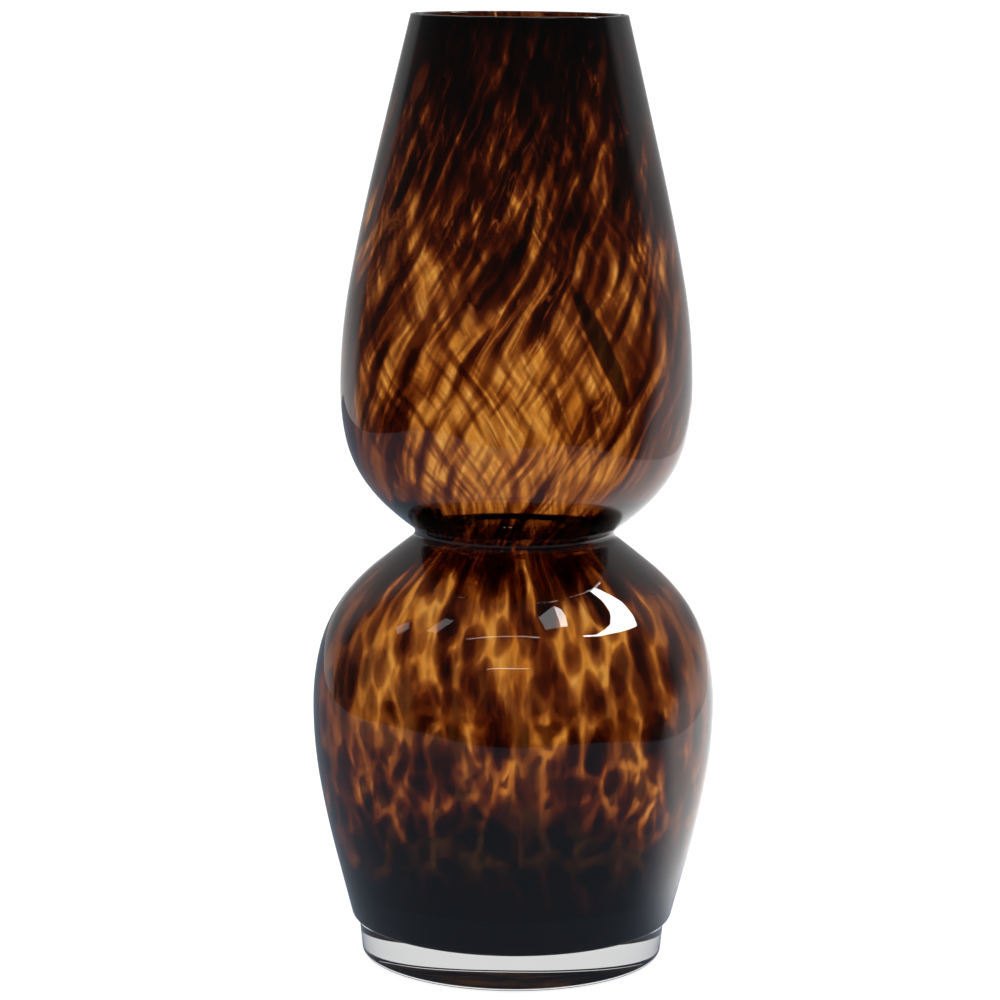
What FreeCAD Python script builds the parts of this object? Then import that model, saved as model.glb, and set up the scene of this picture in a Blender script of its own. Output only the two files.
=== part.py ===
import FreeCAD, Part
import math
import os
from collections import namedtuple

# Gourd vase of cased glass: two blown bulbs with a pinched waist, an open mouth and a heavy clear foot.
# Millimetres, +Z up, with the origin at the centre of the ring that the vase stands on.
# The layers of the wall are one inside the other and share their faces, as fused glass does.

# Heights above the table
rim_height = 419.0
upper_belly_height = 256.0
waist_height = 191.5
lower_belly_height = 114.0
foot_height = 17.0
taper_height = 47.0

# Radii of the outside
rim_radius = 47.3
upper_belly_radius = 77.6
waist_radius = 44.5
lower_belly_radius = 89.5
taper_radius = 79.4
waist_crease_radius = 3.8

# Lean of the outside from straight down, in degrees, outward positive
rim_lean = 13.6
cone_lean = 13.2
underside_lean = -34.7
crease_upper_lean = -54.0
crease_lower_lean = 52.0
shoulder_lean = 37.0
taper_lean = -14.6

# Where the outline bends between the heights above, as shares of the way up and out
cone_height_share = 0.595
cone_radius_share = 0.482
underside_height_share = 0.364
underside_radius_share = 0.68
shoulder_height_share = 0.606
shoulder_radius_share = 0.704

# Layers of the wall, from the outside in, and the straight lip above the first arc
casing_wall = 1.6
colour_wall = 1.4
lining_wall = 1.6
lip_height = 2.5
rim_rounding = 0.7

# Floor of the vase, over the foot
casing_floor = 0.8
colour_floor = 3.0
lining_floor = 4.0
casing_corner_radius = 2.6
colour_corner_radius = 6.0
lining_corner_radius = 9.0
inside_corner_radius = 16.0

# Clear foot, which stands on a ring round its slightly hollow underside
foot_top_radius = 68.9
foot_side_radius = 67.3
foot_contact_radius = 65.5
foot_edge_height = 1.8
foot_hollow_radius = 60.0
foot_hollow_depth = 1.3

# Dark glass run together in the bottom of the lower bulb
dark_base_height = 34.0

# Dark flecks: length, width, lean from upright in degrees, and least gap to the next
rim_fleck_length = 24.0
rim_fleck_width = 13.0
rim_fleck_lean = 14.0
rim_fleck_gap = 4.0
upper_fleck_length = 46.0
upper_fleck_width = 10.0
upper_fleck_lean = 30.0
upper_fleck_gap = 12.0
waist_fleck_length = 13.0
waist_fleck_width = 9.0
waist_fleck_lean = 12.0
waist_fleck_gap = 7.0
shoulder_fleck_length = 20.0
shoulder_fleck_width = 8.0
shoulder_fleck_lean = 8.0
shoulder_fleck_gap = 9.0
lower_fleck_length = 24.0
lower_fleck_width = 13.0
lower_fleck_lean = 0.0
lower_fleck_gap = 8.0
fleck_reach = 6.0
golden_share = (math.sqrt(5) - 1) / 2

# Clear height under the rim, on each side of the crease, and between a band of flecks and the next
rim_fleck_drop = 5.0
crease_clearance = 10.0
band_clearance = 3.0

# Two ways along the outline count as the same when one less their dot product is under this
same_way_tolerance = 1e-9

up = FreeCAD.Vector(0, 0, 1)
outside_way = FreeCAD.Vector(1, 0, 0)
centre = FreeCAD.Vector(0, 0, 0)

# A surface of the wall: how deep it lies in the glass, the height and corner radius of its floor,
# and the way from it to the rounded edge of the rim, for the two surfaces that meet the air.
Surface = namedtuple("Surface", "depth floor corner_radius rim_way")


def point(radius, height):
    return FreeCAD.Vector(radius, 0, height)


def heading(lean):
    """Direction of the outline on its way down, for a lean in degrees."""
    angle = math.radians(lean)
    return FreeCAD.Vector(math.sin(angle), 0, -math.cos(angle))


def outward(direction):
    """Direction out of the glass, beside a way down the outline."""
    return FreeCAD.Vector(-direction.z, 0, direction.x)


def part_way(share, low, high):
    return low + share * (high - low)


def arc_middle(start, direction, end):
    """Middle of the arc that leaves start in a direction and meets end, its way there, and its way at the end."""
    chord = end - start
    across = outward(direction)
    turn = 2 * math.atan2(chord.dot(across), chord.dot(direction))
    half = direction * math.cos(turn / 2) + across * math.sin(turn / 2)
    last = direction * math.cos(turn) + across * math.sin(turn)
    side = outward(half)
    rise = chord.Length / 2 * math.tan(turn / 4)
    return (start + end) * (1 / 2) - side * rise, half, last


def joined_arcs(start, first, end, last):
    """Meeting point of two tangent arcs that leave start and reach end in the given directions."""
    chord = end - start
    spread = 1 - first.dot(last)
    reach = chord.dot(first + last)
    if spread < same_way_tolerance:
        step = chord.dot(chord) / (4 * chord.dot(last))
    else:
        step = (math.sqrt(reach ** 2 + 2 * spread * chord.dot(chord)) - reach) / (2 * spread)
    return (start + first * step + end - last * step) * (1 / 2)


def outline_stations():
    """Points and directions of the outside, from under the lip down to the taper above the foot."""
    rim = math.radians(rim_lean)
    upper = math.radians(-crease_upper_lean)
    lower = math.radians(crease_lower_lean)
    return [
        (point(rim_radius + lip_height * math.tan(rim), rim_height - lip_height), heading(rim_lean)),
        (
            point(
                part_way(cone_radius_share, upper_belly_radius, rim_radius),
                part_way(cone_height_share, upper_belly_height, rim_height),
            ),
            heading(cone_lean),
        ),
        (point(upper_belly_radius, upper_belly_height), heading(0)),
        (
            point(
                part_way(underside_radius_share, waist_radius, upper_belly_radius),
                part_way(underside_height_share, waist_height, upper_belly_height),
            ),
            heading(underside_lean),
        ),
        (
            point(
                waist_radius + waist_crease_radius * (1 - math.cos(upper)),
                waist_height + waist_crease_radius * math.sin(upper),
            ),
            heading(crease_upper_lean),
        ),
        (point(waist_radius, waist_height), heading(0)),
        (
            point(
                waist_radius + waist_crease_radius * (1 - math.cos(lower)),
                waist_height - waist_crease_radius * math.sin(lower),
            ),
            heading(crease_lower_lean),
        ),
        (
            point(
                part_way(shoulder_radius_share, waist_radius, lower_belly_radius),
                part_way(shoulder_height_share, lower_belly_height, waist_height),
            ),
            heading(shoulder_lean),
        ),
        (point(lower_belly_radius, lower_belly_height), heading(0)),
        (point(taper_radius, taper_height), heading(taper_lean)),
    ]


def outline_arcs():
    """The outside as tangent arcs, each a list of start, middle and end with the way down at each."""
    stations = outline_stations()
    arcs = []
    for (start, first), (end, last) in zip(stations, stations[1:]):
        knee = joined_arcs(start, first, end, last)
        middle, way, knee_way = arc_middle(start, first, knee)
        arcs.append([(start, first), (middle, way), (knee, knee_way)])
        middle, way, end_way = arc_middle(knee, knee_way, end)
        arcs.append([(knee, knee_way), (middle, way), (end, end_way)])
    return arcs


def sunk(station, depth):
    """Point of the outline moved into the glass."""
    place, way = station
    return place - outward(way) * depth


def rounded_corner(meet, first, last, radius):
    """Start, middle and end of the arc that rounds the corner where one straight way turns into another."""
    half = first.getAngle(last) / 2
    inward = (last - first).normalize()
    start = meet - first * (radius * math.tan(half))
    end = meet + last * (radius * math.tan(half))
    return start, meet + inward * (radius / math.cos(half) - radius), end


def surface_edges(surface):
    """Edges of a surface of the wall, from the rim to the axis."""
    stations = outline_stations()
    first = sunk(stations[0], surface.depth)
    lip_way = heading(rim_lean)
    rim = first + lip_way * ((rim_height - first.z) / lip_way.z)
    edges = []
    if surface.rim_way:
        start, middle, rim = rounded_corner(rim, surface.rim_way * -1, lip_way, rim_rounding)
        edges.append(Part.Arc(start, middle, rim).toShape())
    edges.append(Part.LineSegment(rim, first).toShape())
    for arc in outline_arcs():
        start, middle, end = (sunk(station, surface.depth) for station in arc)
        edges.append(Part.Arc(start, middle, end).toShape())
    last = sunk(stations[-1], surface.depth)
    taper_way = heading(taper_lean)
    meet = last + taper_way * ((last.z - surface.floor) / -taper_way.z)
    start, middle, end = rounded_corner(meet, taper_way, outside_way * -1, surface.corner_radius)
    edges.append(Part.LineSegment(last, start).toShape())
    edges.append(Part.Arc(start, middle, end).toShape())
    edges.append(Part.LineSegment(end, point(0, surface.floor)).toShape())
    return edges


def end_points(edges):
    """Start of the first edge and end of the last, for edges in order from the rim to the axis."""
    return edges[0].firstVertex().Point, edges[-1].lastVertex().Point


def turned(edges):
    """Solid of revolution about the axis of the vase."""
    wire = Part.Wire(Part.__sortEdges__(edges))
    return Part.Face(wire).revolve(centre, up, 360)


def layer(outer, inner):
    """Layer of glass between two surfaces of the wall, open at the rim."""
    outer_edges = surface_edges(outer)
    inner_edges = surface_edges(inner)
    outer_rim, outer_foot = end_points(outer_edges)
    inner_rim, inner_foot = end_points(inner_edges)
    rim = Part.LineSegment(outer_rim, inner_rim).toShape()
    axis = Part.LineSegment(outer_foot, inner_foot).toShape()
    return turned(outer_edges + inner_edges + [rim, axis])


def clear_foot():
    """Thick clear disc under the floor of the vase, with a rounded edge and a hollow ground into its underside."""
    top = point(foot_top_radius, foot_height)
    side = point(foot_side_radius, foot_edge_height)
    contact = point(foot_contact_radius, 0)
    ring = point(foot_hollow_radius, 0)
    crown = point(0, foot_hollow_depth)
    way = (side - top).normalize()
    edge_middle = arc_middle(side, way, contact)[0]
    hollow_middle = arc_middle(crown, outside_way, ring)[0]
    edges = [
        Part.LineSegment(point(0, foot_height), top).toShape(),
        Part.LineSegment(top, side).toShape(),
        Part.Arc(side, edge_middle, contact).toShape(),
        Part.LineSegment(contact, ring).toShape(),
        Part.Arc(ring, hollow_middle, crown).toShape(),
        Part.LineSegment(crown, point(0, foot_height)).toShape(),
    ]
    return turned(edges)


def wall_at(height):
    """Radius of the middle of the coloured layer at a height, and the way down there."""
    depth = casing_wall + colour_wall / 2
    for arc in outline_arcs():
        start, middle, end = (sunk(station, depth) for station in arc)
        if start.z >= height >= end.z:
            circle = Part.Circle(start, middle, end)
            side = math.copysign(1, middle.x - circle.Center.x)
            rise = height - circle.Center.z
            across = math.sqrt(circle.Radius ** 2 - rise ** 2)
            spoke = point(across, side * rise) * (1 / circle.Radius)
            return circle.Center.x + side * across, point(spoke.z, -spoke.x)
    last = sunk(outline_stations()[-1], depth)
    way = heading(taper_lean)
    return last.x + (last.z - height) * way.x / -way.z, way


def fleck_cutter(height, turn, length, width, lean):
    """Pointed oval block that stands square to the wall at a height and a turn about the axis."""
    radius, way = wall_at(height)
    swing = FreeCAD.Rotation(up, math.degrees(turn))
    place = swing.multVec(point(radius, height))
    normal = swing.multVec(outward(way))
    uphill = swing.multVec(way * -1)
    sideways = uphill.cross(normal)
    tilt = math.radians(lean)
    along = uphill * math.cos(tilt) + sideways * math.sin(tilt)
    across = along.cross(normal)
    high = place + along * (length / 2)
    low = place - along * (length / 2)
    right = place + across * (width / 2)
    left = place - across * (width / 2)
    sides = [Part.Arc(high, right, low).toShape(), Part.Arc(low, left, high).toShape()]
    face = Part.Face(Part.Wire(sides))
    face.translate(normal * -fleck_reach)
    return face.extrude(normal * (2 * fleck_reach))


def fleck_band(low, high, length, width, lean, gap):
    """Staggered rows of cutters between two heights, each moved up or down a little by its number."""
    tilt = math.radians(lean)
    tall = length * math.cos(tilt)
    wide = width / math.cos(tilt)
    rows = max(1, int((high - low + gap) / (tall + gap)))
    pitch = (high - low) / rows
    spare = max(0, pitch - tall) / 2
    cutters = []
    for row in range(rows):
        height = low + (row + 1 / 2) * pitch
        narrowest = min(wall_at(height - tall / 2)[0], wall_at(height + tall / 2)[0])
        count = int(2 * math.pi * narrowest / (wide + gap))
        for number in range(count):
            shift = (number * golden_share + row * golden_share) % 1 - 1 / 2
            turn = 2 * math.pi * (number + row * golden_share) / count
            cutters.append(fleck_cutter(height + shift * spare, turn, length, width, lean))
    return cutters


def fleck_bands():
    """Cutters of each band of flecks, from the rim down."""
    rim_high = rim_height - rim_fleck_drop
    rim_low = rim_high - rim_fleck_length
    waist_low = waist_height + crease_clearance
    waist_high = waist_low + waist_fleck_length
    shoulder_high = waist_height - crease_clearance
    shoulder_low = shoulder_high - shoulder_fleck_length
    return {
        "dark_flecks_rim": fleck_band(
            rim_low, rim_high, rim_fleck_length, rim_fleck_width, rim_fleck_lean, rim_fleck_gap
        ),
        "dark_flecks_upper_bulb": fleck_band(
            waist_high + band_clearance,
            rim_low - band_clearance,
            upper_fleck_length,
            upper_fleck_width,
            upper_fleck_lean,
            upper_fleck_gap,
        ),
        "dark_flecks_waist": fleck_band(
            waist_low, waist_high, waist_fleck_length, waist_fleck_width, waist_fleck_lean, waist_fleck_gap
        ),
        "dark_flecks_shoulder": fleck_band(
            shoulder_low,
            shoulder_high,
            shoulder_fleck_length,
            shoulder_fleck_width,
            shoulder_fleck_lean,
            shoulder_fleck_gap,
        ),
        "dark_flecks_lower_bulb": fleck_band(
            dark_base_height + band_clearance,
            shoulder_low - band_clearance,
            lower_fleck_length,
            lower_fleck_width,
            lower_fleck_lean,
            lower_fleck_gap,
        ),
    }


def save(node, shape):
    shape.exportStep("parts/" + node + ".step")
    print(node, len(shape.Solids), "solids", round(shape.Volume), "mm3", shape.isValid())


def main():
    os.makedirs("parts", exist_ok=True)
    outside = Surface(0, foot_height, casing_corner_radius, outside_way * -1)
    casing_inside = Surface(casing_wall, outside.floor + casing_floor, colour_corner_radius, None)
    lining_outside = Surface(
        casing_inside.depth + colour_wall, casing_inside.floor + colour_floor, lining_corner_radius, None
    )
    inside = Surface(
        lining_outside.depth + lining_wall,
        lining_outside.floor + lining_floor,
        inside_corner_radius,
        outside_way,
    )

    save("clear_outer_casing", layer(outside, casing_inside))
    save("clear_inner_lining", layer(lining_outside, inside))
    save("clear_foot", clear_foot())

    coloured = layer(casing_inside, lining_outside)
    below = Part.makeCylinder(lower_belly_radius, dark_base_height)
    save("dark_base", coloured.common(below))

    amber = coloured.cut(below)
    bands = fleck_bands()
    for node, cutters in bands.items():
        flecks = [solid for cutter in cutters for solid in amber.common(cutter).Solids]
        save(node, Part.makeCompound(flecks))
    every = [cutter for cutters in bands.values() for cutter in cutters]
    save("amber_layer", amber.cut(every))


main()
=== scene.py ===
import math
from collections import namedtuple

import bmesh
import bpy
import numpy as np
from mathutils import Matrix, Vector


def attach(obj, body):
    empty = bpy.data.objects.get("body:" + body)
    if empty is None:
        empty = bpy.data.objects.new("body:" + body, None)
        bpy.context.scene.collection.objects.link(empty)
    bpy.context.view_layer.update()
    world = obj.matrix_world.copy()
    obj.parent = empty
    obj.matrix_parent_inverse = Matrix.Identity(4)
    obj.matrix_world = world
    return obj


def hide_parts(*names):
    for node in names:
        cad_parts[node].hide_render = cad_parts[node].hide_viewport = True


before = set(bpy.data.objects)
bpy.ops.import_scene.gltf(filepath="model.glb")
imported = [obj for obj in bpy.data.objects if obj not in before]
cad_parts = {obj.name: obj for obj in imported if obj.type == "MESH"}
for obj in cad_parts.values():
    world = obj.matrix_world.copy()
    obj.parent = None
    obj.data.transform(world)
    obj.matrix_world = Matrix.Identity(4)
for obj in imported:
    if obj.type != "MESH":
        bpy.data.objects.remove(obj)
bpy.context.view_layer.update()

# Lengths are metres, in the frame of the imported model: +Z up, the vase's axis on Z, the viewer towards -Y.
# Turns about Z go from the viewer's side to the right.
# A soft step is written as its start, its full end, the amount from there on and the base before its start.
# The amount is 1 and the base is 0 where they aren't written.
MM = 0.001
DEGREE = math.radians(1)

# Camera, as the photograph was taken
camera_distance = 1.5157
camera_height = 0.4623
camera_pitch = math.radians(9.62)
camera_roll = math.radians(0.53)
camera_lens = 124.78
camera_reach = 200.0
sensor_width = 36.0
frame_pixels = 1000
axis_column = 515.33

# Meshes: points round the axis, longest step and turn along an outline, and least edge that stays sharp
ring_points = 320
longest_step = 2.4 * MM
steepest_step = math.radians(4)
sharp_edge = math.radians(35)
taper_steps = 13
flank_steps = 6
disc_shares = (0.75, 0.5, 0.25, 0)

# Under these, a radius is on the axis, two ways are the same, and an arc is straight
on_axis = 1e-7
same_way = 1e-9
straight_turn = 1e-6

# The outside of the vase, as the CAD model has it, in places written as (radius, height)
rim_height = 419 * MM
waist_height = 191.5 * MM
rim = Vector((47.3 * MM, rim_height))
upper_belly = Vector((77.6, 256.0)) * MM
waist = Vector((44.5 * MM, waist_height))
lower_belly = Vector((89.5, 114.0)) * MM
taper = Vector((79.4, 47.0)) * MM
crease_radius = 3.8 * MM

# Where the outline bends in between, as (outward, upward) shares of the way from one place to another
cone_shares = (0.482, 0.595)
underside_shares = (0.68, 0.364)
shoulder_shares = (0.704, 0.394)

# Lean of the outside from straight down, in degrees, outward positive
rim_lean = 13.6
cone_lean = 13.2
underside_lean = -34.7
crease_upper_lean = -54.0
crease_lower_lean = 52.0
shoulder_lean = 37.0
taper_lean = -14.6

# Straight lip and rounded edge of the ground rim, top of the dark glass in the bottom, and top of the foot
lip_height = 2.5 * MM
rim_rounding = 0.7 * MM
dark_base_height = 34 * MM
foot_height = 17 * MM

# Layers of the wall from the outside in, their floors and their corners
casing_wall = 1.6 * MM
colour_wall = 1.4 * MM
lining_wall = 1.6 * MM
casing_floor = 0.8 * MM
colour_floor = 3.0 * MM
lining_floor = 4.0 * MM
casing_corner_radius = 2.6 * MM
colour_corner_radius = 6.0 * MM
lining_corner_radius = 9.0 * MM
inside_corner_radius = 16.0 * MM

# Where the faces of the coloured layer lie, in depth under the outside and in height on the floor
colour_depth = casing_wall + colour_wall
casing_inner_floor = foot_height + casing_floor
lining_outer_floor = casing_inner_floor + colour_floor
inner_floor = lining_outer_floor + lining_floor

# Hair between the coloured layer and the clear ones, so that no two faces lie in one place
layer_gap = 0.02 * MM

# Clear foot, the height under which the casing lies on it, and the ground a hair under the foot
foot_top_radius = 68.9 * MM
foot_side_radius = 67.3 * MM
foot_contact_radius = 65.5 * MM
foot_edge_height = 1.8 * MM
foot_hollow_radius = 60.0 * MM
foot_hollow_depth = 1.3 * MM
on_foot_height = foot_height + 1.0 * MM
ground_height = -0.3 * MM

# The pattern lies on a cylinder of this radius, which the glassblower's twist turns above the waist
pattern_radius = 75 * MM
twist_rate = 7.4

# Above this height the glass was twisted a little less and its flecks drawn out less
cone_start = 318 * MM
cone_untwist = 0.25
cone_shortening = 0.40

# Heights in MM between which the pattern of the lower bulb gives way to that of the upper bulb
upper_start, upper_full = 178, 205

# Share of light that one wall of plain amber lets through, and that a unit of dark glass lets through
amber_tint = (0.735, 0.485, 0.20)
dark_tint = (0.355, 0.21, 0.16)

# Fields of noise on the glass: size, squash in height (less is longer), a shift to keep them apart, detail
Field = namedtuple("Field", "size squash lift detail")
sway_field = Field(45 * MM, 1.0, 0.0, 1.0)
patch_field = Field(24 * MM, 0.45, 0.0, 1.5)
streak_field = Field(12 * MM, 0.22, 0.9, 1.0)
clot_field = Field(13 * MM, 0.6, 4.1, 1.0)
waist_field = Field(5 * MM, 0.12, 3.3, 2.0)

# Sway of the pattern from side to side in radians: in the lower bulb, and what the upper bulb adds
lower_sway = 0.12
upper_sway = 0.18

# Slow patches hold more or less dark glass, and this much of them is drawn-out streaks
streak_share = 0.9

# How much amber the wall holds, and what patches, grain and thin lines of painted highlight add to it
plain_amber = 1.13
patch_amber = 0.7
grain_amber = 1.2
highlight_amber = -0.45
grain_size = 2.4 * MM
grain_detail = 1.5

# Kinds of fleck: size of a cell, squash in height, a shift to keep the kinds apart, size and reach of the
# pushes on its outline, and soft steps of dark glass by how far outside its reach a place is, in cells
Flecks = namedtuple("Flecks", "cell squash lift push_size push_reach steps")
broad_flecks = Flecks(7.5 * MM, 0.17, 0.0, 9 * MM, 6 * MM, [(0.14, -0.12, 0.85), (-0.04, -0.34, 1.5)])
narrow_flecks = Flecks(4.0 * MM, 0.19, 0.3, 6 * MM, 4 * MM, [(0.20, -0.15, 0.62), (0.0, -0.34, 0.25)])
oval_flecks = Flecks(10.5 * MM, 0.45, 0.0, 9 * MM, 4 * MM, [(0.10, -0.06, 0.95), (-0.04, -0.30, 1.1)])
chip_flecks = Flecks(4.6 * MM, 0.25, 0.5, 5 * MM, 3 * MM, [(0.14, -0.20, 0.5)])

# Crowded cells, which are dark away from their edges, and thin lines of painted highlight, which lie along
# ridges of noise
crowded_flecks = Flecks(10.5 * MM, 0.62, 1.7, 8 * MM, 7 * MM, [(0.05, 0.30, 1.8)])
highlight_lines = Flecks(4.5 * MM, 0.10, 2.1, 9 * MM, 3 * MM, [(0.03, 0.0, 1.0)])

# Reach of the dark glass in a cell from its middle, as (height in MM, reach in cells)
upper_reach = [
    (0, 0.5), (180, 0.90), (193, 0.90), (200, 0.66), (208, 0.47), (226, 0.41), (257, 0.42), (285, 0.48),
    (315, 0.575), (345, 0.63), (375, 0.69), (400, 0.76), (420, 0.80),
]
lower_reach = [
    (0, 1.3), (30, 0.90), (45, 0.70), (60, 0.60), (80, 0.56), (100, 0.53), (120, 0.49), (150, 0.44),
    (162, 0.47), (171, 0.60), (180, 0.76), (188, 0.92), (420, 0.92),
]

# What patches add to the reach in each bulb, and what the sides of the upper belly add up to a limit as
# painted shade of glass seen edge-on
upper_patch_reach = 0.65
lower_patch_reach = 0.5
side_shade_reach = 0.40
side_shade_limit = 0.5

# Reach of the small kinds beside the large ones, as a share and an addition
narrow_share, narrow_addition = 0.9, -0.02
chip_share, chip_addition = 0.85, -0.06

# Dark glass of the long flecks in the back wall, and what the front adds
back_dark = 0.46
front_dark = 0.58

# Where the glass is seen from the side, and the dark glass that the lower bulb gets there as painted shade of
# glass seen edge-on
side_step = (0.45, 0.88)
side_shade = 0.5

# Soft steps by height in MM: what narrow flecks gain over the belly, the painted shade that the sides get
# under it, and what crowds in the bottom, towards the rim and at the rim
narrow_gain = (285, 330, 0.9)
side_shade_under_belly = (252, 230, 0.7)
crowding = [(50, 32, 2.2), (340, 410, 0.42), (406, 418, 1.2)]

# Heights in MM from where on down the cells crowd, how far patches raise them, what they cover of the loose
# flecks, the noise on the veins between them, and the soft step of the clots over them
crowded_heights = (104, 80)
crowded_rise = 60 * MM
crowded_cover = 0.65
vein_noise_size = 6 * MM
vein_noise = 0.22
clot_step = (0.0, 0.12, 0.8)

# Bands of height in MM: where each starts, is full, starts to fade and ends
Band = namedtuple("Band", "start full fading end")
belly_band = Band(228, 250, 282, 312)
neck_ring_band = Band(197, 200, 203, 206)
waist_band = Band(160, 176, 206, 216)
thin_back_band = Band(184, 190, 206, 222)

# Dark glass of the ring over the crease and of the waist's streaks, and what the back wall lacks there
neck_ring_dark = 0.9
waist_dark = 9.0
thin_back = 0.75

# Thin lines of painted highlight, for light that the edges of flecks focus: the patches where they show,
# their strength in the lower bulb, what the upper one adds, and the share of the dark glass that they take
# away
highlight_patch = (-0.10, 0.10)
lower_highlights = 0.3
upper_highlights = 0.7
highlight_clearing = 0.70

# Single dark flecks and clearer spots: turn in degrees, height, half width and half length in MM, and amount
Spot = namedtuple("Spot", "turn height half_width half_length amount")
dark_spots = [
    Spot(-5, 311, 8.0, 19, 2.8),
    Spot(-34, 284, 4.2, 21, 1.4),
    Spot(24, 250, 5.0, 14, 1.2),
    Spot(-51, 274, 4.0, 9, 1.2),
    Spot(7, 395, 6.0, 24, 1.2),
    Spot(147, 266, 6.0, 26, 3.8),
    Spot(-48, 202, 26.0, 10, 6.0),
    Spot(46, 202, 26.0, 10, 6.0),
    Spot(-9, 181, 16.0, 8, 1.3),
    Spot(23, 178, 15.0, 8, 1.2),
    Spot(31, 168, 5.0, 7, 1.6),
]
clear_spots = [
    Spot(-55, 390, 5.0, 9, 0.8),
    Spot(-123, 379, 5.0, 9, 0.8),
    Spot(43, 396, 4.0, 9, 0.8),
    Spot(137, 386, 4.0, 9, 0.8),
]

# Soft step of a spot by the squared distance from its middle in half widths, the noise on its outline, and
# the most that clear spots take away
spot_step = (1.35, 0.35)
spot_noise_size = 5 * MM
spot_noise = 1.6
most_clearing = 0.8

white = (1.0, 1.0, 1.0, 1.0)

# Clear glass against the air, and the slight waves of blown glass in it
glass_index = 1.5
wave_size = 38 * MM
wave_height = 0.6 * MM
wave_strength = 0.12

# Dark glass run together, with browner patches of noise where it is seen from under its floor: amber in the
# dark glass, and painted glints of the light that shines through it there
dark_colour = (0.004, 0.003, 0.004, 1.0)
brown_glint_colour = (0.07, 0.026, 0.009, 1.0)
brown_under = (casing_inner_floor + 0.8 * MM, casing_inner_floor + 0.2 * MM)
brown_size = 16 * MM
brown_step = (0.42, 0.70)
dark_roughness = 0.4

# Pale ground without an edge in view, and the rounded table top that the glass mirrors
ground_reach = 60.0
ground_colour = (0.25, 0.25, 0.25, 1.0)
ground_glow = 0.86
table_left = -0.80
table_right = 0.50
table_front = -0.58
table_back = 1.6
table_rounding = 0.36
table_rounding_points = 12

# Light on the table top: brighter and whiter to the right of one step and behind another
table_right_step = (0.06, 0.13)
table_back_step = (-0.07, 0.05)
table_strength = 0.31
table_lit_strength = 1.05
table_shade_colour = (0.66, 0.80, 1.0, 1.0)

# Surroundings as seen: their strength, and the shade that is seen through the glass above a slope
seen_strength = 1.08
seen_above_step = (0.06, 0.24)
seen_above_shade = -0.36

# Surroundings as mirrored: soft steps by turn in degrees of the pale sides and of the dim stretch beside them
right_side = (98, 116, 0.9)
right_dim = (70, 100, 0.05)
left_side = (-121, -134, 0.75)
left_dim = (-92, -118, 0.07)

# By slope, 1 straight up and 0 level: how many degrees nearer the right side is low down, where the sides end
# high up, how much stronger they are low down, and the strength of the dark room itself
right_side_low = (0.0, -0.22, 9)
sides_top = (0.80, 0.60)
sides_low = (0.06, -0.18, 1.0, 0.36)
room_step = (-0.1, 0.15, 0.065, 0.025)

# Points of the shoulders that mirror the windows, and how far from them the bright patches of the room are
right_shoulder = Vector((0.038, -0.060, 0.168))
left_shoulder = Vector((-0.038, -0.060, 0.168))
patch_distance = 3.0

# Outlines of the crescent softbox and of the window, seen from a shoulder as (turn, rise) in degrees
softbox_outer = [
    (122, 60), (121, 53), (117, 45), (110, 39), (104, 36),
    (97, 38), (88, 41), (80, 43.5), (70, 45.8), (60, 49.5),
]
softbox_inner = [
    (121, 60), (115, 57), (109, 54), (105, 52), (101, 50),
    (96, 48.5), (90, 47.5), (80, 47), (70, 47.5), (60, 50.5),
]
window_outer = [(69.5, 72.4), (56.4, 67), (49, 60.8)]
window_inner = [(70.5, 69), (65.5, 65.2), (55, 59.6)]
window_far = [(33, 70.5), (33, 66), (32, 62)]

# Bright patches of the room between two lines of directions from a point
RoomPatch = namedtuple("RoomPatch", "name middle outer inner strength")
room_patches = [
    RoomPatch("softbox", right_shoulder, softbox_outer, softbox_inner, 24.0),
    RoomPatch("window_bright", right_shoulder, window_outer, window_inner, 14.0),
    RoomPatch("window_dim", right_shoulder, window_far, window_outer, 3.0),
    RoomPatch("left_window_0", left_shoulder, [(-98, 37), (-95, 44)], [(-91, 35), (-89, 42)], 1.8),
    RoomPatch("left_window_1", left_shoulder, [(-76, 47), (-75, 58)], [(-67, 49), (-66, 60)], 1.8),
]

# Two light lines, and a flag as dark as the room that hides the lower line from the upper bulb
Card = namedtuple("Card", "name place width height target strength")
cards = [
    Card("ceiling_line", (-0.20, -1.05, 1.80), 1.30, 0.020, (-0.20, 0, 0.16), 7.0),
    Card("window_line", (-0.06, -1.05, 0.74), 0.50, 0.012, (-0.06, 0, 0.147), 8.0),
    Card("flag", (0, -0.80, 0.642), 1.4, 0.075, (0, 0, 0.642), 0.065),
]

# Soft lamp over the vase
lamp_size = 1.6
lamp_energy = 9.0
lamp_place = (0.3, -0.4, 1.9)
lamp_target = (0, 0, 0.2)


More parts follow.
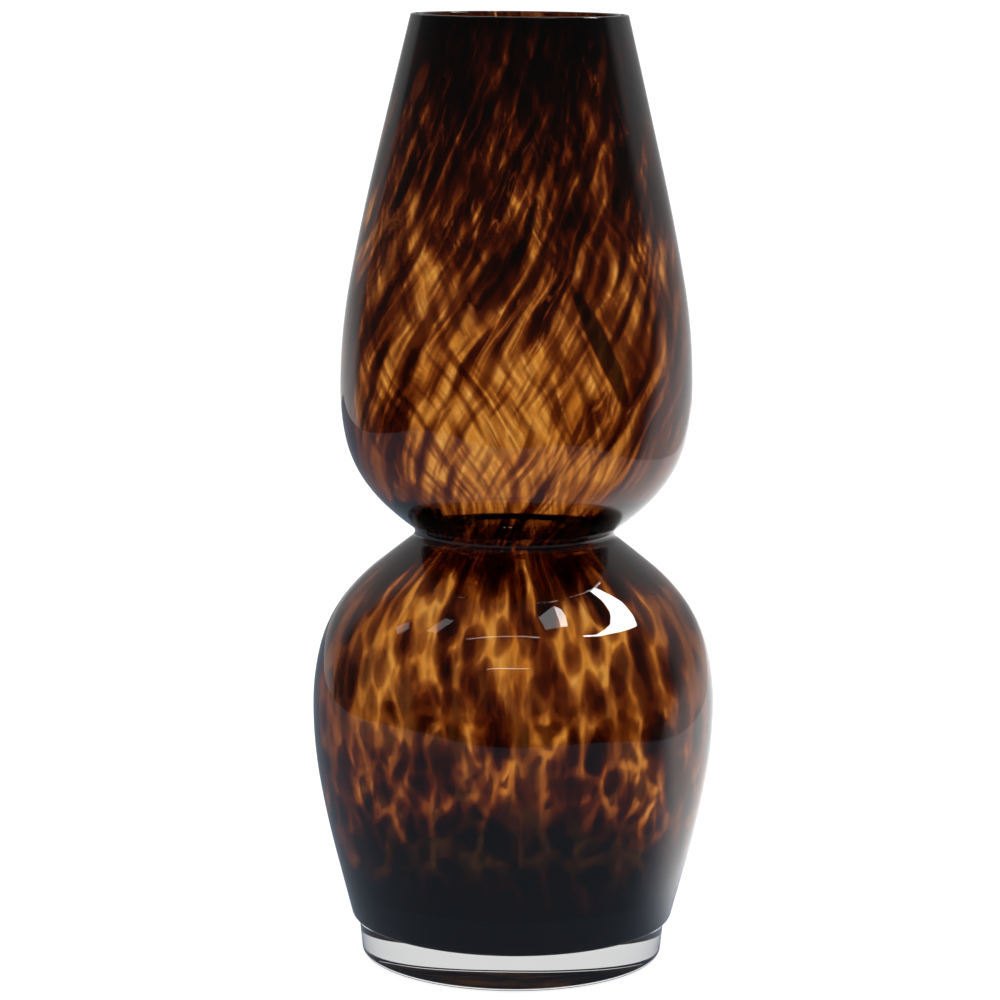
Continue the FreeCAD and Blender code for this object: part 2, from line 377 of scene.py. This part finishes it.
class Graph:
    """Short way to write a node tree: every call adds a node and gives its output."""

    def __init__(self, tree):
        self.tree = tree
        tree.nodes.clear()

    def add(self, kind, inputs=(), output=0, **settings):
        node = self.tree.nodes.new(kind)
        for name, value in settings.items():
            setattr(node, name, value)
        for name, value in dict(inputs).items():
            self.put(value, node.inputs[name])
        return node.outputs[output]

    def put(self, value, socket):
        if isinstance(value, bpy.types.NodeSocket):
            self.tree.links.new(value, socket)
        else:
            socket.default_value = value

    def math(self, operation, *values):
        return self.add("ShaderNodeMath", enumerate(values), operation=operation)

    def plus(self, *values):
        total = values[0]
        for value in values[1:]:
            total = self.math("ADD", total, value)
        return total

    def times(self, *values):
        total = values[0]
        for value in values[1:]:
            total = self.math("MULTIPLY", total, value)
        return total

    def minus(self, first, second):
        return self.math("SUBTRACT", first, second)

    def rest(self, share):
        """What a share leaves of 1."""
        return self.math("SUBTRACT", 1.0, share)

    def larger(self, first, second):
        return self.math("MAXIMUM", first, second)

    def smaller(self, first, second):
        return self.math("MINIMUM", first, second)

    def step(self, value, start, full, amount=1.0, base=0.0):
        """Smooth step from a base to an amount as value goes from start to full."""
        inputs = {0: value, 1: start, 2: full, 3: base, 4: amount}
        return self.add("ShaderNodeMapRange", inputs, interpolation_type="SMOOTHSTEP")

    def steps(self, value, steps):
        """Sum of some smooth steps of a value."""
        return self.plus(*[self.step(value, *each) for each in steps])

    def vector(self, x, y, z):
        return self.add("ShaderNodeCombineXYZ", {0: x, 1: y, 2: z})

    def vector_math(self, operation, first, second):
        return self.add("ShaderNodeVectorMath", {0: first, 1: second}, operation=operation)

    def coordinates(self, output="Object"):
        return self.add("ShaderNodeTexCoord", output=output)

    def split(self, vector):
        """The x, y and z of a vector."""
        node = self.tree.nodes.new("ShaderNodeSeparateXYZ")
        self.put(vector, node.inputs[0])
        return node.outputs

    def noise(self, vector, size, detail=2.0, output=0):
        inputs = {"Vector": vector, "Scale": 1 / size, "Detail": detail}
        return self.add("ShaderNodeTexNoise", inputs, output)

    def swing(self, vector, size, detail=1.0):
        """Noise to both sides of zero."""
        return self.minus(self.noise(vector, size, detail), 0.5)

    def curve(self, value, points):
        """Value read off a smooth curve through (input, output) points between 0 and 1."""
        node = self.tree.nodes.new("ShaderNodeFloatCurve")
        line = node.mapping.curves[0]
        line.points[0].location = points[0]
        line.points[1].location = points[-1]
        for place in points[1:-1]:
            line.points.new(*place)
        node.mapping.update()
        self.put(value, node.inputs["Value"])
        return node.outputs[0]

    def mix(self, share, first, second):
        return self.add("ShaderNodeMix", {0: share, 2: first, 3: second})

    def mix_colours(self, share, first, second):
        return self.add("ShaderNodeMix", {0: share, 6: first, 7: second}, 2, data_type="RGBA")

    def finish(self, shader, kind="ShaderNodeOutputMaterial"):
        """Put a shader on the tree's output."""
        node = self.tree.nodes.new(kind)
        self.put(shader, node.inputs["Surface"])


def new_material(name):
    material = bpy.data.materials.new(name)
    material.use_nodes = True
    return material, Graph(material.node_tree)


def turn_from_viewer(g, x, y):
    return g.math("ARCTAN2", x, g.times(y, -1.0))


def on_pattern_cylinder(g, turn, height, squash, lift):
    """Place on the untwisted cylinder, squashed in height so that what lies there is longer on the vase."""
    across = g.times(g.math("SINE", turn), pattern_radius)
    along = g.times(g.math("COSINE", turn), -pattern_radius)
    return g.vector(across, along, g.plus(g.times(height, squash), lift))


def field_swing(g, turn, height, field):
    """A field of noise on the glass, to both sides of zero."""
    laid = on_pattern_cylinder(g, turn, height, field.squash, field.lift)
    return g.swing(laid, field.size, field.detail)


def pushed(g, place, size, reach):
    """Place pushed about by slow noise, so that nothing laid there keeps a regular outline."""
    push = g.vector_math("SUBTRACT", g.noise(place, size, 1.0, output=1), (0.5, 0.5, 0.5))
    return g.vector_math("ADD", place, g.vector_math("MULTIPLY", push, (reach, reach, reach)))


def cell_distance(g, place, cell, feature="F1"):
    inputs = {"Vector": place, "Scale": 1 / cell, "Randomness": 1.0}
    return g.add("ShaderNodeTexVoronoi", inputs, "Distance", feature=feature)


def by_height(g, height, points):
    """Value read off a smooth line through (height in MM, value) points, with values up to 2."""
    share = g.times(height, 1 / rim_height)
    return g.times(g.curve(share, [(place * MM / rim_height, value / 2) for place, value in points]), 2.0)


def height_step(g, height, start, full, amount=1.0):
    """Soft step by heights in MM."""
    return g.step(height, start * MM, full * MM, amount)


def within(g, height, band):
    """1 inside a band of heights and 0 outside it, with soft ends."""
    rise = height_step(g, height, band.start, band.full)
    return g.times(rise, height_step(g, height, band.end, band.fading))


def fleck_place(g, turn, height, flecks):
    """Where a point of the glass lies among the cells of a kind of fleck."""
    laid = on_pattern_cylinder(g, turn, height, flecks.squash, flecks.lift)
    return pushed(g, laid, flecks.push_size, flecks.push_reach)


def fleck_dark(g, laid, flecks, reach):
    """Dark glass of flecks whose cells are dark up to a reach from their middles."""
    return g.steps(g.minus(cell_distance(g, laid, flecks.cell), reach), flecks.steps)


def twist_at(height):
    """How far the glassblower turned the glass at a height."""
    return twist_rate * (max(height - waist_height, 0.0) - cone_untwist * max(height - cone_start, 0.0))


# What the pattern needs to know of a place. Height is as seen, and drawn grows faster up the cone, so that
# flecks are shorter there. Even_turn is the turn before the twist, and turn is the same with sway. Front is 1
# at the front and 0 at the back. Sideways is 1 at both sides, and at_sides is a soft step of it, where
# painted shade darkens the glass seen edge-on. Upper is 1 in the upper bulb and 0 in the lower. Patch says
# how much more dark glass lies there, or less.
Place = namedtuple("Place", "height drawn even_turn turn front sideways at_sides upper patch")


def layer_place(g):
    x, y, height = g.split(g.coordinates())
    seen_turn = turn_from_viewer(g, x, y)
    rise = g.larger(g.minus(height, waist_height), 0.0)
    over_cone = g.larger(g.minus(height, cone_start), 0.0)
    even_turn = g.minus(seen_turn, g.times(g.minus(rise, g.times(over_cone, cone_untwist)), twist_rate))
    upper = height_step(g, height, upper_start, upper_full)
    sway = field_swing(g, even_turn, height, sway_field)
    turn = g.plus(even_turn, g.times(sway, g.plus(lower_sway, g.times(upper, upper_sway))))
    across = g.math("SINE", seen_turn)
    sideways = g.times(across, across)
    streak = field_swing(g, turn, height, streak_field)
    return Place(
        height=height,
        drawn=g.plus(height, g.times(over_cone, cone_shortening)),
        even_turn=even_turn,
        turn=turn,
        front=g.plus(0.5, g.times(g.math("COSINE", seen_turn), 0.5)),
        sideways=sideways,
        at_sides=g.step(sideways, *side_step),
        upper=upper,
        patch=g.plus(field_swing(g, turn, height, patch_field), g.times(streak, streak_share)),
    )


def long_flecks(g, place, narrow_place):
    """Dark glass of the upper bulb's drawn-out flecks: broad ones with a darker core, and narrow ones, and
    painted shade at the sides.
    """
    # Painted shade at the sides of the upper belly, where the glass is seen edge-on
    side = g.times(g.smaller(place.sideways, side_shade_limit), within(g, place.height, belly_band), side_shade_reach)
    reach = g.plus(by_height(g, place.height, upper_reach), g.times(place.patch, upper_patch_reach), side)
    broad = fleck_dark(g, fleck_place(g, place.turn, place.drawn, broad_flecks), broad_flecks, reach)
    narrow_reach = g.plus(g.times(reach, narrow_share), narrow_addition)
    narrow = fleck_dark(g, narrow_place, narrow_flecks, narrow_reach)
    narrow = g.times(narrow, g.plus(1.0, height_step(g, place.height, *narrow_gain)))
    seen = g.times(g.plus(broad, narrow), g.plus(back_dark, g.times(place.front, front_dark)))
    # Painted shade at the sides under the belly, where the glass is seen edge-on
    return g.plus(seen, g.times(height_step(g, place.height, *side_shade_under_belly), place.at_sides))


def loose_flecks(g, place):
    """Dark glass of the lower bulb's upright ovals and of the chips between them, and painted shade at the
    sides.
    """
    reach = g.plus(by_height(g, place.height, lower_reach), g.times(place.patch, lower_patch_reach))
    ovals = fleck_dark(g, fleck_place(g, place.turn, place.height, oval_flecks), oval_flecks, reach)
    chip_reach = g.plus(g.times(reach, chip_share), chip_addition)
    chips = fleck_dark(g, fleck_place(g, place.turn, place.height, chip_flecks), chip_flecks, chip_reach)
    # Painted shade at the sides, where the glass is seen edge-on
    return g.plus(ovals, chips, g.times(place.at_sides, side_shade))


def crowded_cells(g, place):
    """Dark glass of cells crowded together, with amber veins between them and some clots over them."""
    laid = fleck_place(g, place.turn, place.height, crowded_flecks)
    edge = cell_distance(g, laid, crowded_flecks.cell, "DISTANCE_TO_EDGE")
    edge = g.plus(edge, g.times(g.swing(laid, vein_noise_size), vein_noise))
    clot = field_swing(g, place.turn, place.height, clot_field)
    return g.plus(g.steps(edge, crowded_flecks.steps), g.step(clot, *clot_step))


def lower_bulb(g, place):
    """Dark glass of the lower bulb: loose flecks, which low down give way to crowded cells."""
    crowded = height_step(g, g.plus(place.height, g.times(place.patch, crowded_rise)), *crowded_heights)
    loose = g.times(loose_flecks(g, place), g.rest(g.times(crowded, crowded_cover)))
    return g.plus(loose, g.times(crowded_cells(g, place), crowded))


def waist_rings(g, place):
    """Dark glass of the ring over the crease, and of the fine drawn-out streaks round the waist."""
    ring = g.times(within(g, place.height, neck_ring_band), neck_ring_dark)
    streak = field_swing(g, place.turn, place.height, waist_field)
    return g.plus(ring, g.times(streak, within(g, place.height, waist_band), waist_dark))


def spots(g, place, rough, chosen):
    """How far inside some long oval spots a place is: 0 outside them and their amount in the middle."""
    total = 0.0
    for spot in chosen:
        start = math.radians(spot.turn) - twist_at(spot.height * MM)
        half_turn = g.times(g.minus(place.even_turn, start), 0.5)
        across = g.times(g.math("SINE", half_turn), 2 * pattern_radius / (spot.half_width * MM))
        along = g.times(g.minus(place.height, spot.height * MM), 1 / (spot.half_length * MM))
        away = g.plus(g.times(across, across), g.times(along, along), rough)
        total = g.plus(total, g.step(away, *spot_step, spot.amount))
    return total


def highlight_line(g, place):
    """Thin lines of painted highlight: paler, clearer glass that stands for light focused by the edges of
    flecks.
    """
    laid = fleck_place(g, place.turn, place.drawn, highlight_lines)
    ridge = g.math("ABSOLUTE", g.swing(laid, highlight_lines.cell))
    strength = g.plus(lower_highlights, g.times(place.upper, upper_highlights))
    return g.times(g.steps(ridge, highlight_lines.steps), g.step(place.patch, *highlight_patch), strength)


def layer_amounts(g):
    """How much dark glass and how much amber the coloured layer holds at each place."""
    place = layer_place(g)
    narrow_place = fleck_place(g, place.turn, place.drawn, narrow_flecks)
    upper_dark = g.times(long_flecks(g, place, narrow_place), place.upper)
    lower_dark = g.times(lower_bulb(g, place), g.rest(place.upper))
    crowd = g.plus(*[height_step(g, place.height, *each) for each in crowding])
    dark = g.larger(g.plus(upper_dark, lower_dark, crowd, waist_rings(g, place)), 0.0)
    behind = g.times(within(g, place.height, thin_back_band), g.rest(place.front))
    dark = g.times(dark, g.rest(g.times(behind, thin_back)))

    rough = g.times(g.swing(narrow_place, spot_noise_size), spot_noise)
    dark = g.times(dark, g.rest(g.smaller(spots(g, place, rough, clear_spots), most_clearing)))
    dark = g.plus(dark, spots(g, place, rough, dark_spots))

    # Painted highlight in thin lines: less amber and less dark glass along them
    line = highlight_line(g, place)
    grain = g.times(g.swing(narrow_place, grain_size, grain_detail), grain_amber)
    amber = g.plus(plain_amber, g.times(place.patch, patch_amber), grain, g.times(line, highlight_amber))
    return g.times(dark, g.rest(g.times(line, highlight_clearing))), amber


def tortoiseshell():
    """Glass that colours what passes and bends nothing, because it is fused on both sides.

    Light crosses two faces of the layer, so each face gives half of the layer's amber and dark glass.
    """
    material, g = new_material("tortoiseshell_glass")
    dark, amber = [g.times(amount, 0.5) for amount in layer_amounts(g)]
    channels = []
    for amber_share, dark_share in zip(amber_tint, dark_tint):
        passed = g.times(g.math("POWER", amber_share, amber), g.math("POWER", dark_share, dark))
        channels.append(passed)
    colour = g.add("ShaderNodeCombineColor", enumerate(channels))
    g.finish(g.add("ShaderNodeBsdfTransparent", {"Color": colour}))
    return material


def clear_glass():
    """Surface of clear glass against the air, with the slight waves of blown glass."""
    material, g = new_material("clear_glass")
    waves = g.noise(g.coordinates(), wave_size, 1.0)
    bump = g.add("ShaderNodeBump", {"Height": waves, "Strength": wave_strength, "Distance": wave_height})
    inputs = {
        "Base Color": white,
        "Roughness": 0.0,
        "IOR": glass_index,
        "Transmission Weight": 1.0,
        "Normal": bump,
    }
    g.finish(g.add("ShaderNodeBsdfPrincipled", inputs))
    return material


def fused_glass():
    """Face where glass meets glass, which light crosses unchanged."""
    material, g = new_material("fused_glass")
    g.finish(g.add("ShaderNodeBsdfTransparent", {"Color": white}))
    return material


def dark_glass():
    """Dark glass run together, which lets nothing through, with browner patches under its floor: its amber,
    and painted glints of light shining through it.
    """
    material, g = new_material("dark_glass")
    place = g.coordinates()
    # Browner patches under the floor: amber in the glass, and painted glints of light shining through it
    under = g.step(g.split(place)[2], *brown_under)
    share = g.times(under, g.step(g.noise(place, brown_size), *brown_step))
    colour = g.mix_colours(share, dark_colour, brown_glint_colour)
    inputs = {"Base Color": colour, "Roughness": dark_roughness, "Specular IOR Level": 0.0}
    g.finish(g.add("ShaderNodeBsdfPrincipled", inputs))
    return material


def glowing(name, strength):
    material, g = new_material(name)
    g.finish(g.add("ShaderNodeEmission", {"Strength": strength}))
    return material


def heading(lean):
    """Way down the outline as (outward, up), for a lean from straight down in degrees."""
    angle = math.radians(lean)
    return Vector((math.sin(angle), -math.cos(angle)))


def beside(way):
    """Way out of the glass, beside a way down the outline."""
    return Vector((-way.y, way.x))


def tangent_arc(start, way, end):
    """Points of the arc that leaves start along a way and meets end, each with its way down."""
    chord = end - start
    across = beside(way)
    half = math.atan2(chord.dot(across), chord.dot(way))
    steps = max(1, math.ceil(chord.length / longest_step), math.ceil(abs(2 * half) / steepest_step))
    placed = []
    for number in range(1, steps + 1):
        share = number / steps
        turned_way = way * math.cos(2 * half * share) + across * math.sin(2 * half * share)
        toward = way * math.cos(half * share) + across * math.sin(half * share)
        if abs(half) > straight_turn:
            chord_share = math.sin(half * share) / math.sin(half)
        else:
            chord_share = share
        placed.append((start + toward * (chord.length * chord_share), turned_way))
    return placed


def place_between(first, last, shares):
    """Place at shares of the way out and up from one place to another."""
    outward, upward = shares
    way = last - first
    return Vector((first.x + way.x * outward, first.y + way.y * upward))


def crease_end(way):
    """Place where the round crease of the waist ends, with the way down there."""
    return Vector((waist.x + crease_radius * (1 + way.y), waist.y - crease_radius * way.x)), way


def stations():
    """Places on the outside with the way down there, from under the lip to the start of the taper."""
    lip = heading(rim_lean)
    return [
        (rim + lip * (lip_height / -lip.y), lip),
        (place_between(upper_belly, rim, cone_shares), heading(cone_lean)),
        (upper_belly, heading(0)),
        (place_between(waist, upper_belly, underside_shares), heading(underside_lean)),
        crease_end(heading(crease_upper_lean)),
        (waist, heading(0)),
        crease_end(heading(crease_lower_lean)),
        (place_between(waist, lower_belly, shoulder_shares), heading(shoulder_lean)),
        (lower_belly, heading(0)),
        (taper, heading(taper_lean)),
    ]


def outside_points():
    """The outside from under the lip to the start of the taper, two arcs between each pair of stations."""
    places = stations()
    placed = [places[0]]
    for (start, first), (end, last) in zip(places, places[1:]):
        chord = end - start
        spread = 1 - first.dot(last)
        reach = chord.dot(first + last)
        if spread < same_way:
            step = chord.dot(chord) / (4 * chord.dot(last))
        else:
            step = (math.sqrt(reach**2 + 2 * spread * chord.dot(chord)) - reach) / (2 * spread)
        knee = (start + first * step + end - last * step) / 2
        placed += tangent_arc(start, first, knee)
        placed += tangent_arc(knee, placed[-1][1], end)
    return placed


def rounded(meet, first, last, radius):
    """Points of the arc that rounds the corner where one straight way turns into another."""
    half = first.angle(last) / 2
    start = meet - first * (radius * math.tan(half))
    end = meet + last * (radius * math.tan(half))
    return [start] + [place for place, way in tangent_arc(start, first, end)]


def wall_surface(depth, floor, corner_radius, rim_way=None):
    """(radius, height) points of a surface of the wall, from the rim down to the axis.

    Where a way along the ground rim is given, the rim's edge is rounded.
    """
    sunk = [place - beside(way) * depth for place, way in outside_points()]
    lip_way, taper_way = heading(rim_lean), heading(taper_lean)
    edge = sunk[0] + lip_way * ((rim_height - sunk[0].y) / lip_way.y)
    top = [edge]
    if rim_way:
        top = rounded(edge, -rim_way, lip_way, rim_rounding)
    meet = sunk[-1] + taper_way * ((floor - sunk[-1].y) / taper_way.y)
    bottom = rounded(meet, taper_way, Vector((-1, 0)), corner_radius)
    straight = [sunk[-1].lerp(bottom[0], share) for share in np.linspace(0, 1, taper_steps + 1)[1:-1]]
    disc = [Vector((bottom[-1].x * share, floor)) for share in disc_shares]
    return top + sunk + straight + bottom + disc


def split_at(points, height):
    """Points above a height and below it, both with the point where the line crosses it."""
    for index, (high, low) in enumerate(zip(points, points[1:])):
        if high.y >= height > low.y:
            cross = high.lerp(low, (high.y - height) / (high.y - low.y))
            return points[: index + 1] + [cross], [cross] + points[index + 1 :]


def add_object(name, data):
    made = bpy.data.objects.new(name, data)
    bpy.context.scene.collection.objects.link(made)
    return made


def add_ring(vertices, point):
    """Add the vertices of a point turned about Z, one where it is on the axis, and give their numbers."""
    radius, height = point
    first = len(vertices)
    if radius < on_axis:
        vertices.append((0.0, 0.0, height))
    else:
        for angle in np.linspace(0, 2 * math.pi, ring_points, endpoint=False):
            vertices.append((radius * math.cos(angle), radius * math.sin(angle), height))
    return list(range(first, len(vertices)))


def faces_between(upper, lower):
    """Faces between two rings of vertices, of which either may be a single vertex on the axis."""
    faces = []
    for number in range(ring_points):
        following = (number + 1) % ring_points
        around = [
            upper[number % len(upper)],
            upper[following % len(upper)],
            lower[following % len(lower)],
            lower[number % len(lower)],
        ]
        corners = list(dict.fromkeys(around))
        if len(corners) > 2:
            faces.append(corners)
    return faces


def revolved(name, stretches, materials):
    """Closed mesh turned about Z from stretches of an outline, each a list of points and a material.

    Each stretch goes on from the end of the one before, and the last one ends on the first point.
    """
    outline = [point for points, material in stretches for point in points]
    surfaces = [material for points, material in stretches for point in points]
    vertices, faces, slots = [], [], []
    rings = [add_ring(vertices, point) for point in outline[:-1]]
    rings.append(rings[0])
    for material, upper, lower in zip(surfaces[1:], rings, rings[1:]):
        made = faces_between(upper, lower)
        faces += made
        slots += [materials.index(material)] * len(made)
    mesh = bpy.data.meshes.new(name)
    mesh.from_pydata(vertices, [], faces)
    for material in materials:
        mesh.materials.append(material)
    mesh.polygons.foreach_set("material_index", slots)
    work = bmesh.new()
    work.from_mesh(mesh)
    bmesh.ops.recalc_face_normals(work, faces=work.faces)
    work.to_mesh(mesh)
    work.free()
    mesh.shade_smooth()
    mesh.set_sharp_from_angle(angle=sharp_edge)
    return add_object(name, mesh)


def piece(name, stretches, materials, slot, *nodes):
    """Turned piece that rides on the vase and stands for CAD nodes."""
    made = revolved(name, stretches, materials)
    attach(made, "root")
    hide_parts(*nodes)


def build_casing(clear, fused):
    """Last gather of clear glass, fused to the coloured layer inside and to the foot under its floor."""
    outside = wall_surface(0, foot_height, casing_corner_radius, Vector((-1, 0)))
    inside = wall_surface(casing_wall, casing_inner_floor, colour_corner_radius)
    exposed = [point for point in outside if point.x > foot_top_radius or point.y > on_foot_height]
    joined = [Vector((foot_top_radius, foot_height))] + outside[len(exposed) :]
    piece(
        "clear_outer_casing",
        [(exposed, clear), (joined, fused), (inside[::-1], fused), (exposed[:1], clear)],
        [clear, fused],
        "clear_glass",
        "clear_outer_casing",
    )


def build_lining(clear, fused):
    """First gather of clear glass, fused to the coloured layer outside, which is the inside of the vase."""
    outside = wall_surface(colour_depth, lining_outer_floor, lining_corner_radius)
    inside = wall_surface(colour_depth + lining_wall, inner_floor, inside_corner_radius, Vector((1, 0)))
    piece(
        "clear_inner_lining",
        [(outside, fused), (inside[::-1], clear), (outside[:1], clear)],
        [clear, fused],
        "clear_glass",
        "clear_inner_lining",
    )


def build_coloured_layer(coloured, dark):
    """Amber layer with all its flecks, and the dark glass run together under it."""
    outside = wall_surface(casing_wall + layer_gap, casing_inner_floor + layer_gap, colour_corner_radius)
    inside = wall_surface(colour_depth - layer_gap, lining_outer_floor - layer_gap, lining_corner_radius)
    outer_top, outer_base = split_at(outside, dark_base_height)
    inner_top, inner_base = split_at(inside, dark_base_height)
    piece(
        "tortoiseshell_layer",
        [(outer_top, coloured), (inner_top[-1:], dark), (inner_top[-2::-1], coloured), (outer_top[:1], dark)],
        [coloured, dark],
        "amber_glass",
        "amber_layer",
        "dark_flecks_rim",
        "dark_flecks_upper_bulb",
        "dark_flecks_waist",
        "dark_flecks_shoulder",
        "dark_flecks_lower_bulb",
    )
    piece(
        "dark_base",
        [(outer_base, dark), (inner_base[::-1], dark), (outer_base[:1], dark)],
        [dark],
        "dark_glass",
        "dark_base",
    )


def build_foot(clear, fused):
    """Thick clear disc, fused to the casing above it, with a slightly hollow underside."""
    top = Vector((foot_top_radius, foot_height))
    side = Vector((foot_side_radius, foot_edge_height))
    contact = Vector((foot_contact_radius, 0))
    ring, crown = Vector((foot_hollow_radius, 0)), Vector((0, foot_hollow_depth))
    flank = [top.lerp(side, share) for share in np.linspace(0, 1, flank_steps + 1)]
    edge = [place for place, way in tangent_arc(side, (side - top).normalized(), contact)]
    hollow = [place for place, way in tangent_arc(crown, Vector((1, 0)), ring)]
    piece(
        "clear_foot",
        [(flank + edge + hollow[::-1] + [crown], clear), ([Vector((0, foot_height)), top], fused)],
        [clear, fused],
        "clear_glass",
        "clear_foot",
    )


def build_vase():
    clear, fused = clear_glass(), fused_glass()
    dark, coloured = dark_glass(), tortoiseshell()
    build_casing(clear, fused)
    build_lining(clear, fused)
    build_coloured_layer(coloured, dark)
    build_foot(clear, fused)


def only_reflected(made):
    made.visible_camera = False
    made.visible_diffuse = False
    made.visible_transmission = False
    made.visible_shadow = False


def stage_mesh(name, corners, faces, material):
    """Mesh that shows the vase and isn't part of it."""
    mesh = bpy.data.meshes.new(name)
    mesh.from_pydata(corners, [], faces)
    mesh.materials.append(material)
    made = add_object(name, mesh)
    return made


def facing(place, target, axis):
    """Rotation that turns an axis of something at a place to a target."""
    return (Vector(target) - Vector(place)).to_track_quat(axis, "Y").to_euler()


def rectangle(half_width, half_height):
    return [(x * half_width, y * half_height) for x, y in [(-1, -1), (1, -1), (1, 1), (-1, 1)]]


def build_card(card):
    """Bright panel that only reflections see, facing a point."""
    corners = [(x, y, 0) for x, y in rectangle(card.width / 2, card.height / 2)]
    panel = stage_mesh(card.name, corners, [(0, 1, 2, 3)], glowing(card.name, card.strength))
    panel.location = card.place
    panel.rotation_euler = facing(card.place, card.target, "Z")
    only_reflected(panel)


def direction(turn, rise):
    """Way to a place in the room, turned from the viewer to the right and raised, in degrees."""
    turn, rise = math.radians(turn), math.radians(rise)
    return Vector((math.sin(turn) * math.cos(rise), -math.cos(turn) * math.cos(rise), math.sin(rise)))


def build_room_patch(patch):
    """Bright patch of the room that only reflections see, between two lines of directions from a point."""
    corners = [patch.middle + patch_distance * direction(*way) for way in patch.outer + patch.inner]
    count = len(patch.outer)
    faces = [(number, number + 1, count + number + 1, count + number) for number in range(count - 1)]
    only_reflected(stage_mesh(patch.name, corners, faces, glowing(patch.name, patch.strength)))


def flat_mesh(name, corners, material):
    """Flat mesh on the ground."""
    places = [(x, y, ground_height) for x, y in corners]
    return stage_mesh(name, places, [tuple(range(len(places)))], material)


def build_ground():
    """Pale ground, which reflections don't see."""
    material, g = new_material("pale_floor")
    lit = g.add("ShaderNodeBsdfDiffuse", {"Color": ground_colour})
    glow = g.add("ShaderNodeEmission", {"Strength": ground_glow})
    g.finish(g.add("ShaderNodeAddShader", {0: lit, 1: glow}))
    ground = flat_mesh("floor", rectangle(ground_reach, ground_reach), material)
    ground.visible_glossy = False


def table_corners():
    """Outline of the table top, with its two front corners rounded."""
    rounding = [(table_left + table_rounding, math.pi), (table_right - table_rounding, 3 * math.pi / 2)]
    corners = []
    for middle, start in rounding:
        for angle in np.linspace(start, start + math.pi / 2, table_rounding_points):
            x = middle + table_rounding * math.cos(angle)
            y = table_front + table_rounding * (1 + math.sin(angle))
            corners.append((x, y))
    return corners + [(table_right, table_back), (table_left, table_back)]


def build_table():
    """Table top that only reflections see."""
    material, g = new_material("table_top")
    x, y, z = g.split(g.coordinates())
    lit = g.times(g.step(x, *table_right_step), g.step(y, *table_back_step))
    strength = g.plus(table_strength, g.times(lit, table_lit_strength))
    colour = g.mix_colours(lit, table_shade_colour, white)
    g.finish(g.add("ShaderNodeEmission", {"Color": colour, "Strength": strength}))
    only_reflected(flat_mesh("table_top", table_corners(), material))


def turn_step(g, turn, start, full, amount):
    """Soft step by turns in degrees."""
    return g.step(turn, start * DEGREE, full * DEGREE, amount)


def mirrored_room(g, turn, slope):
    """Strength of a dark room with pale sides."""
    start, full, nearer = right_side_low
    right_turn = g.plus(turn, g.step(slope, start, full, nearer * DEGREE))
    sides = g.larger(turn_step(g, right_turn, *right_side), turn_step(g, turn, *left_side))
    dims = g.larger(turn_step(g, turn, *right_dim), turn_step(g, turn, *left_dim))
    low = g.times(g.step(slope, *sides_top), g.step(slope, *sides_low))
    return g.plus(g.times(g.larger(sides, dims), low), g.step(slope, *room_step))


def build_room():
    """White surroundings for what is seen and lit, and the dark room for what is mirrored."""
    world = bpy.data.worlds.new("studio")
    bpy.context.scene.world = world
    world.use_nodes = True
    g = Graph(world.node_tree)
    x, y, slope = g.split(g.coordinates("Generated"))
    glossy = g.add("ShaderNodeLightPath", output="Is Glossy Ray")
    through = g.add("ShaderNodeLightPath", output="Is Transmission Ray")
    above = g.times(g.step(slope, *seen_above_step), through)
    seen = g.plus(seen_strength, g.times(above, seen_above_shade))
    mirrored = mirrored_room(g, turn_from_viewer(g, x, y), slope)
    strength = g.mix(g.times(glossy, g.rest(through)), seen, mirrored)
    background = g.add("ShaderNodeBackground", {"Color": white, "Strength": strength})
    g.finish(background, "ShaderNodeOutputWorld")


def build_lamp():
    light = bpy.data.lights.new("soft_top", "AREA")
    light.shape = "DISK"
    light.size = lamp_size
    light.energy = lamp_energy
    lamp = add_object("soft_top", light)
    lamp.location = lamp_place
    lamp.rotation_euler = facing(lamp_place, lamp_target, "-Z")
    lamp.visible_camera = False
    lamp.visible_glossy = False
    lamp.visible_transmission = False


def build_camera():
    data = bpy.data.cameras.new("camera")
    data.lens = camera_lens
    data.sensor_width = sensor_width
    data.sensor_fit = "HORIZONTAL"
    data.shift_x = (frame_pixels / 2 - axis_column) / frame_pixels
    data.clip_end = camera_reach
    camera = add_object("camera", data)
    look = Matrix.Rotation(math.radians(90) - camera_pitch, 3, "X")
    roll = Matrix.Rotation(camera_roll, 3, "Z")
    camera.rotation_euler = (look @ roll).to_euler()
    camera.location = (0, -camera_distance, camera_height)
    bpy.context.scene.camera = camera


def set_up_render():
    """Plain colours, and enough bounces for the many faces of the layered glass."""
    bpy.context.scene.view_settings.view_transform = "Standard"
    cycles = bpy.context.scene.cycles
    cycles.transparent_max_bounces = 32
    cycles.max_bounces = 24
    cycles.transmission_bounces = 16
    cycles.glossy_bounces = 8


set_up_render()
build_camera()
build_room()
build_ground()
build_table()
for room_patch in room_patches:
    build_room_patch(room_patch)
for card in cards:
    build_card(card)
build_lamp()
build_vase()
